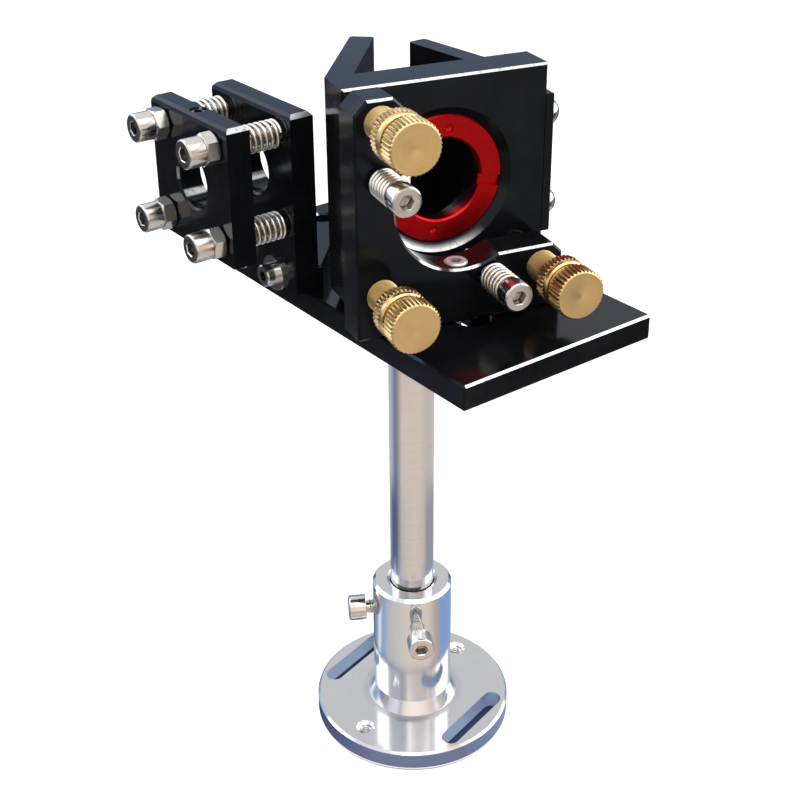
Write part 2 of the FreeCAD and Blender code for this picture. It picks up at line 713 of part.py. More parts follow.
def ball(name):
    s, z = KNOB_PLACES[name]
    return Part.makeSphere(BALL_DIA / 2, V(s, ball_n(name), z))


def pull_screw(name):
    s, z = PULL_PLACES[name]
    seat = PLATE_N[0] - PULL_HEAD_STANDOFF
    return cap_screw(M4, PULL_GRIP - seat, V(s, seat, z), INTO_BLOCK, socket_depth=DEEP_SOCKET_DEPTH)


def pull_spring(name):
    s, z = PULL_PLACES[name]
    return spring(SPRING_DIA, SPRING_WIRE, PULL_HEAD_STANDOFF - 2 * SPRING_GAP,
                       PULL_SPRING_COILS, V(s, PLATE_N[0] - SPRING_GAP, z), TO_FRONT)


def arm(start, angle, across, length):
    """An upright wall from a point on the block's back, as thick as it reaches across."""
    turn = math.radians(angle)
    along = V(math.cos(turn), math.sin(turn), 0)
    side = V(math.sin(turn), -math.cos(turn), 0) * across
    tip = start + along * length
    root = start - along * (BLOCK_THICK / 2)
    points = [root, tip, tip + side, root + side]
    body = prism([V(p.x, p.y, BLOCK_Z[0]) for p in points], V(0, 0, BLOCK_HEIGHT))
    ends = []
    for edge in body.Edges:
        a, b = [vertex.Point for vertex in edge.Vertexes]
        at_tip = V(a.x - tip.x, a.y - tip.y, 0).Length < abs(across) + 0.1
        if at_tip and V(a.x - b.x, a.y - b.y, 0).Length < 1e-6:
            ends.append(edge)
    return body.makeFillet(ARM_ROUND, ends)


def combiner_block():
    """The block that carries the optic: a front wall with a stepped bore, and two arms."""
    front = block((0, BLOCK_LENGTH), (0, BLOCK_THICK), BLOCK_Z)
    left = arm(V(0, BLOCK_THICK, 0), LEFT_ARM_ANGLE, LEFT_ARM_THICK, LEFT_ARM_LENGTH)
    right = arm(V(RIGHT_ARM_S, BLOCK_THICK, 0), RIGHT_ARM_ANGLE, -RIGHT_ARM_THICK,
                RIGHT_ARM_LENGTH)
    within = block((0, 2 * BLOCK_LENGTH), (0, 2 * BLOCK_LENGTH), BLOCK_Z)
    body = front.fuse([left.common(within), right]).removeSplitter()
    body = bevel(body, BLOCK_EDGE, lambda p: near(p.y, 0))
    centre = V(APERTURE_S, 0, APERTURE_Z)
    bore = RING_DIA / 2 + RUN_FIT
    body = body.cut(turned([
        (0, 0), (RECESS_RADIUS, 0), (bore, RECESS_CONE), (bore, RING_SEAT_DEPTH),
        (LIGHT_HOLE_DIA / 2, RING_SEAT_DEPTH), (LIGHT_HOLE_DIA / 2, BLOCK_THICK),
        (0, BLOCK_THICK),
    ], centre, INTO_BLOCK))
    for s, z in PULL_PLACES.values():
        body = body.cut(rod(M4["dia"] + 2 * RUN_FIT, PULL_GRIP + 1, V(s, 0, z), INTO_BLOCK))
    s, z = KNOB_PLACES["corner"]
    body = body.cut(cone(2 * PIVOT_CONE_DEPTH, 0, PIVOT_CONE_DEPTH, V(s, 0, z), INTO_BLOCK))
    for place in side_screw_places():
        body = body.cut(rod(M3["dia"] + 2 * THREAD_FIT, SIDE_SCREW_GRIP + 1,
                            V(BLOCK_LENGTH, place.y, place.z), V(-1, 0, 0)))
    return body


def retaining_ring():
    centre = V(APERTURE_S, RING_INSET, APERTURE_Z)
    outer = RING_DIA / 2
    hole = RING_HOLE_DIA / 2
    body = turned([
        (hole, RING_EDGE), (hole + RING_EDGE, 0), (outer - RING_EDGE, 0), (outer, RING_EDGE),
        (outer, RING_THICK), (hole, RING_THICK),
    ], centre, INTO_BLOCK)
    for side in (1, -1):
        lean = math.radians(SPANNER_HOLE_LEAN)
        offset = V(math.sin(lean), 0, math.cos(lean)) * (side * SPANNER_HOLE_RADIUS)
        body = body.cut(rod(SPANNER_HOLE_DIA, RING_THICK, centre + offset, INTO_BLOCK))
    notch = block((-RING_DIA, RING_DIA), (0, RING_SLOT_DEPTH),
                  (-RING_SLOT_WIDTH / 2, RING_SLOT_WIDTH / 2))
    notch.Placement = FreeCAD.Placement(centre, FreeCAD.Rotation(INTO_BLOCK, SPANNER_HOLE_LEAN))
    return body.cut(notch)


def side_screw_places():
    """Points under the two button heads, on the side plate's outer face."""
    s = BLOCK_LENGTH + SIDE_PLATE_THICK
    half = SIDE_SCREW_SPACING / 2
    return [V(s, BLOCK_THICK / 2, APERTURE_Z + lift) for lift in (-half, half)]


def side_plate():
    z = (APERTURE_Z - SIDE_PLATE_HEIGHT / 2, APERTURE_Z + SIDE_PLATE_HEIGHT / 2)
    outer = BLOCK_LENGTH + SIDE_PLATE_THICK
    body = block((BLOCK_LENGTH, outer), (SIDE_PLATE_INSET, BLOCK_THICK - SIDE_PLATE_INSET), z)
    body = bevel(body, SIDE_PLATE_EDGE, lambda p: near(p.x, outer))
    for place in side_screw_places():
        body = body.cut(rod(M3["dia"] + 2 * HOLE_FIT, SIDE_PLATE_THICK, place, V(-1, 0, 0)))
    return body


def side_plate_screws():
    return [button_screw(M3["dia"], SIDE_PLATE_THICK + SIDE_SCREW_GRIP, SIDE_SCREW_HEAD_DIA,
                         SIDE_SCREW_HEAD_HEIGHT, M3["socket"] - 0.5, place, V(-1, 0, 0))
            for place in side_screw_places()]


# Every node and its solids

def nodes():
    adjusters = adjust_points()
    parts = {
        "base_flange": base_flange(),
        "base_clamp_screw_front": base_clamp_screw(-CLAMP_SPREAD, CLAMP_NECK_FRONT),
        "base_clamp_screw_side": base_clamp_screw(CLAMP_SPREAD, CLAMP_NECK_SIDE),
        "post": post(),
        "post_screw": post_screw(),
        "base_plate": base_plate(),
        "pointer_rear_plate": pointer_rear_plate(),
        "pointer_foot": pointer_foot(),
        "foot_screws": foot_screws(),
        "rear_plate_washers": rear_plate_washers(),
        "rear_plate_screws": rear_plate_screws(),
        "pointer_front_plate": pointer_front_plate(),
        "pointer_set_screw": pointer_set_screw(),
        "pointer_springs": [adjust_spring(y, z) for y, z in adjusters.values()],
        "adjuster_plate": in_head(adjuster_plate()),
        "head_clamp_screw": in_head(head_clamp_screw()),
        "head_clamp_washer": in_head(head_clamp_washer()),
        "head_clamp_nut": in_head(head_clamp_nut()),
        "combiner_block": in_head(combiner_block()),
        "retaining_ring": in_head(retaining_ring()),
        "side_plate": in_head(side_plate()),
        "side_plate_screws": [in_head(screw) for screw in side_plate_screws()],
    }
    for name, (y, z) in adjusters.items():
        parts["pointer_nut_" + name] = adjust_nut(y, z)
        parts["pointer_screw_" + name] = adjust_screw(y, z)
    for name in KNOB_PLACES:
        parts[name + "_thumbscrew"] = in_head(thumbscrew(name))
        parts[name + "_lock_ring"] = in_head(lock_ring(name))
        parts[name + "_ball"] = in_head(ball(name))
    for name in PULL_PLACES:
        parts[name + "_pull_screw"] = in_head(pull_screw(name))
        parts[name + "_pull_spring"] = in_head(pull_spring(name))
    return parts


os.makedirs("parts", exist_ok=True)
for node, shape in nodes().items():
    if isinstance(shape, list):
        shape = Part.makeCompound(shape)
    shape.exportStep("parts/" + node + ".step")
    print(node, len(shape.Solids), "solids, volume", round(shape.Volume, 1), "valid", shape.isValid())
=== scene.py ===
import bpy
import math
from mathutils import Matrix, Vector


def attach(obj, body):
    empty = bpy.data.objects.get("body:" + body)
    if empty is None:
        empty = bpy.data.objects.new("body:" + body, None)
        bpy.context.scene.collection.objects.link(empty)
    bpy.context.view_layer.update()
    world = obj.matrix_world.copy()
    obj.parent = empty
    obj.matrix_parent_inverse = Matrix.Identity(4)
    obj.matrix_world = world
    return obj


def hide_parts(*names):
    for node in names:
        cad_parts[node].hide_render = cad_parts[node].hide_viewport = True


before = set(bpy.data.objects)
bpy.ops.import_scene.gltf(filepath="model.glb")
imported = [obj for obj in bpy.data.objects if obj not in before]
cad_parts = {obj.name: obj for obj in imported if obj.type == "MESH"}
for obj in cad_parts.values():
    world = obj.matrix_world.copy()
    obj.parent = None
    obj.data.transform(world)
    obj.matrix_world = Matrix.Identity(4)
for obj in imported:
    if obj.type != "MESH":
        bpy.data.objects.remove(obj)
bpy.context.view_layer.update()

MM = 0.001
UP = Vector((0, 0, 1))

# The optical head's own directions and the places on it, in the CAD frame

HEAD_TURN = math.radians(-13.54)
ALONG = Vector((math.cos(HEAD_TURN), math.sin(HEAD_TURN), 0))
INTO = Vector((-math.sin(HEAD_TURN), math.cos(HEAD_TURN), 0))
FRONT = -INTO
CLAMP = Vector((-7.58, -26.70, 0)) * MM
CORNER = CLAMP - (ALONG * 24.0 - INTO * 7.5) * MM

# Places are given along the block, through it and up, or along it and up

APERTURE = (24.4, 0.0, 169.95)
KNOBS = {"corner": (4.0, 150.0), "top": (4.0, 190.0), "side": (44.0, 150.0)}
PULLS = {"top": (4.0, 177.0), "side": (31.0, 150.0)}
PLATE_FACE = -11.7


def on_head(s, n, z):
    """A point given in millimetres along the block, through it, and up."""
    return CORNER + (ALONG * s + INTO * n + UP * z) * MM


# Node materials. A mix node keeps its colours at these places among its inputs and outputs.

MIX_A, MIX_B, MIX_RESULT = 6, 7, 2


class Nodes:
    """Short ways to add nodes to a tree."""

    def __init__(self, tree):
        self.tree = tree

    def node(self, kind, settings=(), **links):
        """A node with some inputs and properties set, and with sockets linked to inputs by name."""
        node = self.tree.nodes.new(kind)
        for key, value in dict(settings).items():
            if isinstance(key, int) or key in node.inputs:
                node.inputs[key].default_value = value
            else:
                setattr(node, key, value)
        for key, socket in links.items():
            self.link(socket, node.inputs[key])
        return node

    def link(self, socket, target):
        self.tree.links.new(socket, target)

    def feed(self, node, *values):
        """Gives each of a node's first inputs a constant or a link."""
        for i, value in enumerate(values):
            if isinstance(value, bpy.types.NodeSocket):
                self.link(value, node.inputs[i])
            elif value is not None:
                node.inputs[i].default_value = value
        return node

    def math(self, operation, a, b=None):
        return self.feed(self.node("ShaderNodeMath", {"operation": operation}), a, b).outputs[0]

    def vector(self, operation, a, b=None):
        node = self.feed(self.node("ShaderNodeVectorMath", {"operation": operation}), a, b)
        return node.outputs["Value" if operation in ("DOT_PRODUCT", "LENGTH") else "Vector"]

    def weigh(self, a, share, b):
        """A share of one value and the rest of another."""
        return self.math("ADD", self.math("MULTIPLY", a, share), self.math("MULTIPLY", b, 1.0 - share))

    def range(self, value, low, high, to_low=0.0, to_high=1.0):
        settings = {1: low, 2: high, 3: to_low, 4: to_high}
        return self.node("ShaderNodeMapRange", settings, Value=value).outputs[0]

    def noise(self, scale, detail, roughness, vector=None, along=None):
        """A noise in one dimension where a distance along it is given, or else in three."""
        settings = {"Scale": scale, "Detail": detail, "Roughness": roughness}
        if along is None:
            return self.node("ShaderNodeTexNoise", settings, Vector=vector).outputs["Fac"]
        settings["noise_dimensions"] = "1D"
        return self.node("ShaderNodeTexNoise", settings, W=along).outputs["Fac"]

    def mix_colour(self, fac, a, b):
        """A mix of two colours, each a constant or a link."""
        node = self.node("ShaderNodeMix", {"data_type": "RGBA"})
        self.link(fac, node.inputs[0])
        for index, value in ((MIX_A, a), (MIX_B, b)):
            if isinstance(value, tuple):
                node.inputs[index].default_value = (*value, 1.0)
            else:
                self.link(value, node.inputs[index])
        return node.outputs[MIX_RESULT]

    def place(self):
        return self.node("ShaderNodeTexCoord").outputs["Object"]

    def facing(self):
        return self.node("ShaderNodeTexCoord").outputs["Normal"]

    def about(self, centre, axis):
        """The distances from an axis and along it, and the place as seen from the centre."""
        place = self.vector("SUBTRACT", self.place(), centre)
        run = self.vector("DOT_PRODUCT", place, axis)
        scaled = self.node("ShaderNodeVectorMath", {"operation": "SCALE", 0: axis}, Scale=run)
        out = self.vector("SUBTRACT", place, scaled.outputs[0])
        return self.vector("LENGTH", out), run, place

    def seen(self):
        """One for a ray from the camera, a gloss or a lens, and nought for other light."""
        path = self.node("ShaderNodeLightPath").outputs
        seen = self.math("MAXIMUM", path["Is Camera Ray"], path["Is Glossy Ray"])
        return self.math("MAXIMUM", seen, path["Is Transmission Ray"])


class Look(Nodes):
    """A material with its slot, and ways to fill its shader."""

    def __init__(self, name, slot, **inputs):
        self.material = bpy.data.materials.new(name)
        self.material.use_nodes = True
        super().__init__(self.material.node_tree)
        self.slot = slot
        self.shader = self.tree.nodes["Principled BSDF"]
        self.surface = self.tree.nodes["Material Output"].inputs["Surface"]
        for key, value in inputs.items():
            self.shader.inputs[key.replace("_", " ")].default_value = value

    def set(self, name, socket):
        self.link(socket, self.shader.inputs[name])

    def bump(self, height, distance):
        node = self.node("ShaderNodeBump", {"Distance": distance}, Height=height)
        self.set("Normal", node.outputs["Normal"])

    def paint_hollow_shade(self, skin, reach, hollow_shade_colour, closed=0.25, open_from=0.72):
        """Painted shade: darkens narrow hollows, such as sockets and knurls, where little of the sky is seen.
        """
        settings = {"samples": 8, "only_local": True, "Distance": reach}
        hollow = self.node("ShaderNodeAmbientOcclusion", settings)
        return self.mix_colour(self.range(hollow.outputs["AO"], closed, open_from), hollow_shade_colour, skin)

    def metal_skin(self, shade, metal, roughness, spread, span, hollow_shade, flat=None):
        """Colour and roughness that follow a shade, with painted shade in hollows and on flat faces."""
        light, dark = metal
        skin = self.mix_colour(self.range(shade, 0.3, 0.7), dark, light)
        # Painted shade: faces square to the axis are dimmed by a tint.
        if flat:
            share, tint = flat
            skin = self.mix_colour(share, skin, self.vector("MULTIPLY", skin, tint))
        if hollow_shade:
            skin = self.paint_hollow_shade(skin, *hollow_shade)
        self.set("Base Color", skin)
        self.set("Roughness", self.range(shade, *span, roughness - spread / 2, roughness + spread / 2))


# Fine and broad rings share a distance that grows outwards and, faster, along the axis. Each noise has a
# scale, a detail and a roughness, and the rings' scale is the metal's own.

RUN_WEIGHT = 1.37
BROAD_GROOVES = 9
FINE_RINGS = (2.0, 0.6)
BROAD_RINGS = (3.0, 0.5)
METAL_CLOUD = (260.0, 4.0, 0.6)
FLAT_SPAN = (0.9, 0.98)


def turned_metal(name, slot, centre, axis, metal, roughness, groove, depth=2.0e-6,
                 spread=0.12, flat_face_shade=None, hollow_shade=None):
    """Bare metal with the fine rings that a lathe leaves on its faces and round its sides, with painted shade
    on faces square to the axis and in hollows where these are given.
    """
    look = Look(name, slot, Metallic=1.0)
    radius, run, place = look.about(centre, axis)
    reach = look.math("ADD", radius, look.math("MULTIPLY", run, RUN_WEIGHT))
    fine = look.noise(groove, *FINE_RINGS, along=reach)
    broad = look.noise(groove / BROAD_GROOVES, *BROAD_RINGS, along=reach)
    rings = look.weigh(fine, 0.6, broad)
    shade = look.weigh(rings, 0.7, look.noise(*METAL_CLOUD, vector=place))
    flat = None
    if flat_face_shade:
        across = look.math("ABSOLUTE", look.vector("DOT_PRODUCT", look.facing(), axis))
        flat = (look.range(across, *FLAT_SPAN), flat_face_shade)
    look.metal_skin(shade, metal, roughness, spread, (0.25, 0.75), hollow_shade, flat)
    look.bump(rings, depth)
    return look


PLATED_CLOUD = (900.0, 4.0, 0.6)
SCRATCHES = (2250.0, 2.0, 0.7)
SCRATCH_STRETCH = (1.0, 1.0, 14.0)


def plain_metal(name, slot, metal, roughness, hollow_shade, metallic=1.0):
    """Plated or drawn metal with faint clouds, fine scratches and painted shade in its hollows."""
    look = Look(name, slot, Metallic=metallic)
    place = look.place()
    cloud = look.noise(*PLATED_CLOUD, vector=place)
    stretched = look.vector("MULTIPLY", place, SCRATCH_STRETCH)
    shade = look.weigh(cloud, 0.6, look.noise(*SCRATCHES, vector=stretched))
    look.metal_skin(shade, metal, roughness, 0.12, (0.3, 0.7), hollow_shade)
    look.bump(shade, 2.0e-6)
    return look


ANODISED = (0.0042, 0.0044, 0.0052)
ANODISED_LIGHT = (0.0085, 0.0090, 0.0108)
ANODISED_GLOSS = (0.10, 0.21)
# Bare metal on chosen bevels, partly real bare bevels and partly a painted highlight, and how much of it the
# half-bare edges get
BARE_HIGHLIGHT = (0.64, 0.65, 0.66)
BARE_HIGHLIGHT_ROUGHER = 0.14
HALF_BARE_HIGHLIGHT = 0.6
BEVEL_SPAN = (0.985, 0.995)
MILL_MARKS = (1500.0, 3.0, 0.55)
MILL_DRIFT = (0.03, 0.03, 0.03)
DYE_CLOUD = (90.0, 4.0, 0.55)
SPECKS = (5200.0, 2.0, 0.5)
WEAR = (700.0, 3.0, 0.6)
WEAR_RANGE = (0.28, 0.45, 0.55, 1.0)


def black_anodised(name, bare_highlight_ways=(), half_bare_highlight_ways=(), grain_axis=UP, highlight_patch=None):
    """Glossy black anodising over milled faces, with bevels made bare metal on the sides that face the light:
    partly real bare bevels, partly a painted highlight.
    """
    look = Look(name, "black_anodised", Specular_IOR_Level=0.22, Specular_Tint=(0.66, 0.81, 1.0, 1.0))
    place = look.place()
    across = look.vector("CROSS_PRODUCT", place, grain_axis)
    grain = look.vector("ADD", across, look.vector("MULTIPLY", place, MILL_DRIFT))
    mill = look.noise(*MILL_MARKS, vector=grain)
    cloud = look.noise(*DYE_CLOUD, vector=place)
    speck = look.noise(*SPECKS, vector=place)
    shade = look.weigh(mill, 0.25, cloud)
    skin = look.mix_colour(look.range(shade, 0.35, 0.65), ANODISED, ANODISED_LIGHT)
    gloss = look.range(shade, 0.3, 0.7, *ANODISED_GLOSS)
    look.bump(look.weigh(mill, 0.4, speck), 0.9e-6)
    facing = look.facing()
    parts = [highlight_patch(look)] if highlight_patch else []
    # Bevels facing the given ways are made bare metal, partly a painted highlight where they face the light
    for ways, amount in ((bare_highlight_ways, 1.0), (half_bare_highlight_ways, HALF_BARE_HIGHLIGHT)):
        for way in ways:
            near = look.vector("DOT_PRODUCT", facing, way.normalized())
            parts.append(look.range(near, *BEVEL_SPAN, 0.0, amount))
    if parts:
        bare_highlight = parts[0]
        for part in parts[1:]:
            bare_highlight = look.math("MAXIMUM", bare_highlight, part)
        wear = look.range(look.noise(*WEAR, vector=place), *WEAR_RANGE)
        bare_highlight = look.math("MULTIPLY", bare_highlight, wear)
        skin = look.mix_colour(bare_highlight, skin, BARE_HIGHLIGHT)
        gloss = look.math("ADD", gloss, look.math("MULTIPLY", bare_highlight, BARE_HIGHLIGHT_ROUGHER))
        look.set("Metallic", bare_highlight)
    look.set("Base Color", skin)
    look.set("Roughness", gloss)
    return look


# The cone at the mouth of the block's bore: its edges in metres, and the way in which it is made bare metal,
# a painted highlight on its lower left side

CONE_RIM = (0.01737, 0.01744)
CONE_THROAT = (0.01570, 0.01700)
CONE_DEPTH = (0.00125, 0.00135)
CONE_HIGHLIGHT_WAY = (ALONG * -0.22 - UP * 0.975).normalized()
CONE_HIGHLIGHT_SPAN = (0.62, 0.9)


def highlit_cone(look):
    """The cone at the mouth of the block's bore, made bare metal along its lower left side as a painted
    highlight.
    """
    radius, run, place = look.about(on_head(*APERTURE), INTO)
    inside = look.range(radius, *CONE_RIM, 1.0, 0.0)
    outside = look.range(radius, *CONE_THROAT)
    shallow = look.range(run, *CONE_DEPTH, 1.0, 0.0)
    low = look.math("DIVIDE", look.vector("DOT_PRODUCT", place, CONE_HIGHLIGHT_WAY), radius)
    low = look.range(low, *CONE_HIGHLIGHT_SPAN)
    return look.math("MULTIPLY", look.math("MULTIPLY", inside, outside), look.math("MULTIPLY", shallow, low))


# Metals as a lighter and a darker colour

WHITE_METAL = ((0.84, 0.84, 0.85), (0.76, 0.76, 0.77))
POST_METAL = ((0.80, 0.79, 0.78), (0.71, 0.71, 0.71))
STEEL = ((0.74, 0.72, 0.69), (0.60, 0.58, 0.55))
DULL_STEEL = ((0.80, 0.80, 0.78), (0.66, 0.66, 0.64))
WIRE = ((0.90, 0.86, 0.80), (0.80, 0.75, 0.69))
BRASS = ((0.86, 0.63, 0.30), (0.76, 0.52, 0.22))
RED = ((0.56, 0.012, 0.015), (0.44, 0.007, 0.010))

# Painted shade in hollows: how far away a wall still darkens them in metres, the colour of the painted shade,
# and for some the shares of open sky between which they clear

SOCKETS = (0.0022, (0.035, 0.028, 0.022))
THREADED_HOLES = (0.003, (0.06, 0.06, 0.07))
BETWEEN_COILS = (0.0009, (0.10, 0.085, 0.075), 0.2, 0.6)
KNURL_GROOVES = (0.0009, (0.15, 0.10, 0.04), 0.5, 0.9)

# Painted shade: faces square to a turned part's axis, such as the flange's top, are dimmed by this tint.
FLAT_FACE_SHADE = (0.66, 0.665, 0.68)
CONE_FOOT = (0.01265, 0.01275)
FOOT_FADES = (0.0128, 0.0155)
FOOT_ROUGHER = 0.35


def roughen_foot(look):
    """Makes the flange's top duller where it meets the cone under the hub."""
    gloss = look.shader.inputs["Roughness"].links[0].from_socket
    radius = look.about(Vector(), UP)[0]
    foot = look.math("MULTIPLY", look.range(radius, *CONE_FOOT, 0.0, FOOT_ROUGHER),
                     look.range(radius, *FOOT_FADES, 1.0, 0.0))
    look.set("Roughness", look.math("ADD", gloss, foot))


# The flange's top gets painted shade.
flange_look = turned_metal("turned_flange", "turned_aluminium", Vector(), UP, WHITE_METAL, 0.13,
                           15000.0, spread=0.08, flat_face_shade=FLAT_FACE_SHADE)
roughen_foot(flange_look)
post_look = turned_metal("ground_post", "turned_aluminium", Vector(), UP, POST_METAL, 0.16,
                         9000.0, depth=1.0e-6, spread=0.06)
# The screws, threaded holes and springs get painted shade in their sockets, threads and coils.
steel_look = plain_metal("bright_screws", "bright_steel", STEEL, 0.18, SOCKETS)
dull_look = plain_metal("dull_screw", "bright_steel", DULL_STEEL, 0.42, SOCKETS, metallic=0.45)
hole_look = plain_metal("threaded_hole", "turned_aluminium", WHITE_METAL, 0.2, THREADED_HOLES)
wire_look = plain_metal("spring_wire", "spring_steel", WIRE, 0.30, BETWEEN_COILS)
red_look = turned_metal("red_ring", "red_anodised", on_head(*APERTURE), INTO, RED, 0.30, 14000.0)

# Each black part names the directions of its bevels that are made bare metal: partly real bare bevels, partly
# a painted highlight where they face the light

HEAD_TOP_FRONT = FRONT + UP
PLATE_TOP_FRONT = Vector((0, -1, 1))
block_look = black_anodised("black_block", (HEAD_TOP_FRONT,), highlight_patch=highlit_cone)
adjuster_look = black_anodised(
    "black_adjuster", (HEAD_TOP_FRONT, HEAD_TOP_FRONT + ALONG, HEAD_TOP_FRONT + ALONG * 0.6),
    (FRONT + ALONG,))
plate_look = black_anodised("black_base_plate", (PLATE_TOP_FRONT,), (Vector((0, -1, -1)),),
                            grain_axis=Vector((0, 1, 0)))
holder_look = black_anodised("black_holder", (PLATE_TOP_FRONT,), (Vector((-1, -1, 0)),))
small_look = black_anodised("black_small")

KNOB_START = 13.0
KNOB_END = 18.4
# The brass knobs get painted shade in their knurl grooves.
brass_looks = {}
for knob, (s, z) in KNOBS.items():
    brass_looks[knob] = turned_metal(
        "turned_brass_" + knob, "brass", on_head(s, PLATE_FACE - KNOB_END, z), INTO, BRASS, 0.30,
        11000.0, depth=4.0e-6, spread=0.16, hollow_shade=KNURL_GROOVES)

CAD_LOOKS = {
    "base_flange": flange_look, "post": post_look, "base_plate": plate_look,
    "combiner_block": block_look, "adjuster_plate": adjuster_look,
    "pointer_rear_plate": holder_look, "pointer_front_plate": holder_look,
    "pointer_foot": plate_look, "side_plate": small_look, "retaining_ring": red_look,
    "head_clamp_screw": dull_look,
}


def look_of(name):
    """The look of a CAD node."""
    knob = name.split("_")[0]
    if name in CAD_LOOKS:
        return CAD_LOOKS[name]
    if knob in brass_looks and ("thumbscrew" in name or "lock_ring" in name):
        return brass_looks[knob]
    return wire_look if "spring" in name else steel_look


for name, cad_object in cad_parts.items():
    cad_object.data.materials.clear()
    cad_object.data.materials.append(look_of(name).material)


# Meshes turned from rows of points, whose radius and height may change round the turn

def mesh_object(name, vertices, faces, material):
    mesh = bpy.data.meshes.new(name)
    mesh.from_pydata([tuple(v) for v in vertices], [], faces)
    mesh.materials.append(material)
    made = bpy.data.objects.new(name, mesh)
    bpy.context.scene.collection.objects.link(made)
    return made


def at_angle(value, t):
    """A number as it is, or what a function of the angle gives at that angle."""
    return value(t) if callable(value) else value


THREAD_SECTION = ((False, 0.06), (True, 0.42), (True, 0.58), (False, 0.94))
THREAD_RUN_OUT = 0.6
THREAD_LEAST = 0.02


class Solid:
    """Vertices and faces gathered in a tool's own frame: its axis is +Z and sizes are in millimetres."""

    def __init__(self, at, axis, start):
        self.vertices = []
        self.faces = []
        axis = Vector(axis).normalized()
        side = Vector(start).normalized()
        self.at = Vector(at)
        self.frame = Matrix((side, axis.cross(side), axis)).transposed()

    def add(self, x, y, z):
        self.vertices.append(self.at + self.frame @ (Vector((x, y, z)) * MM))
        return len(self.vertices) - 1

    def rows(self, rows, segments):
        """Joins rows of (radius, height), each a number or a function of the angle."""
        rings = []
        for radius, height in rows:
            if radius == 0:
                rings.append([self.add(0, 0, height)] * segments)
                continue
            ring = []
            for i in range(segments):
                t = 2 * math.pi * i / segments
                r = at_angle(radius, t)
                ring.append(self.add(r * math.cos(t), r * math.sin(t), at_angle(height, t)))
            rings.append(ring)
        for low, high in zip(rings, rings[1:]):
            for i in range(segments):
                j = (i + 1) % segments
                face = [low[i], low[j], high[j], high[i]]
                face = [v for k, v in enumerate(face) if v != face[k - 1]]
                if len(face) > 2:
                    self.faces.append(face)

    def thread(self, root, crest, pitch, start, end, segments=32):
        """A helical ridge, or a groove's wall where the crest is nearer the axis than the root."""
        count = int(((end - start) / pitch - 1) * segments)
        run_out = THREAD_RUN_OUT * segments
        grid = []
        for k in range(count + 1):
            t = 2 * math.pi * k / segments
            ease = max(THREAD_LEAST, min(1.0, k / run_out, (count - k) / run_out))
            z = start + pitch * k / segments
            line = []
            for on_crest, lift in THREAD_SECTION:
                radius = root + (crest - root) * ease if on_crest else root
                line.append(self.add(radius * math.cos(t), radius * math.sin(t), z + pitch * lift))
            grid.append(line)
        for a, b in zip(grid, grid[1:]):
            for j in range(3):
                self.faces.append([a[j], b[j], b[j + 1], a[j + 1]])
            self.faces.append([a[3], b[3], b[0], a[0]])
        self.faces.append(grid[0])
        self.faces.append(grid[-1][::-1])

    def make(self, name, look, body, replaced=(), smooth_angle=35.0):
        """The piece itself, which rides a body and may stand for a CAD node."""
        made = mesh_object(name, self.vertices, self.faces, look.material)
        made.data.validate()
        made.data.shade_smooth()
        made.data.set_sharp_from_angle(angle=math.radians(smooth_angle))
        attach(made, body)
        if replaced:
            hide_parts(*replaced)


def hexagon(across_flats):
    """The radius of a hexagon as a function of the angle."""
    def radius(t):
        from_flat = (t + math.pi / 6) % (math.pi / 3) - math.pi / 6
        return across_flats / 2 / math.cos(from_flat)
    return radius


# M4 screws and nuts, whose heads and flats are both 7 mm across

M4 = 4.0
M4_PITCH = 0.7
M4_HEAD = 7.0
M4_SOCKET = 3.0
M4_NUT_THICK = 3.2
SCREW_SIDES = 48
NUT_SIDES = 72


def cap_screw(name, seat, axis, body, length, socket_depth, start, head=4.0):
    """A socket cap screw with a rounded rim, a hexagon socket and a rolled thread."""
    solid = Solid(seat, axis, start)
    rim = M4_HEAD / 2
    shank = M4 / 2
    flat = hexagon(M4_SOCKET)
    solid.rows([
        (0, -head + socket_depth + 0.55), (flat, -head + socket_depth), (flat, -head + 0.18),
        (lambda t: flat(t) + 0.16, -head), (rim - 0.55, -head), (rim - 0.28, -head + 0.06),
        (rim - 0.08, -head + 0.24), (rim, -head + 0.52), (rim, -0.2), (rim - 0.12, -0.04),
        (rim - 0.3, 0), (shank - 0.32, 0), (shank - 0.32, length - 0.5),
        (shank - 0.75, length), (0, length)], SCREW_SIDES)
    solid.thread(shank - 0.38, shank - 0.01, M4_PITCH, 0.3, length - 0.3)
    solid.make(name, steel_look, body, (name,))


def hex_nut(name, start_face, axis, body, side):
    """A hexagon nut whose corners are turned off at 30 degrees."""
    outline = hexagon(M4_HEAD)
    land = M4_HEAD / 2 * 0.97
    bore = M4 / 2 + 0.04
    thick = M4_NUT_THICK

    def drop(t):
        return max(0.0, (outline(t) - land) * math.tan(math.radians(30)))

    solid = Solid(start_face, axis, side)
    solid.rows([
        (bore, 0.25), (bore + 0.25, 0), (land, 0), (outline, drop),
        (outline, lambda t: thick - drop(t)), (land, thick), (bore + 0.25, thick),
        (bore, thick - 0.25), (bore, 0.25)], NUT_SIDES)
    solid.make(name, steel_look, body, (name,), 25.0)


# Springs: each end turn lies closed, and the rise changes to the open pitch over half a turn

SPRING_DIA = 7.0
WIRE_DIA = 0.86
WIRE_SIDES = 10
TURN_STEPS = 40
CLOSED_RISE = WIRE_DIA * 1.03
CLOSED_TURNS = 1.8
OPENS_AFTER = 0.65
OPENS_OVER = 0.5


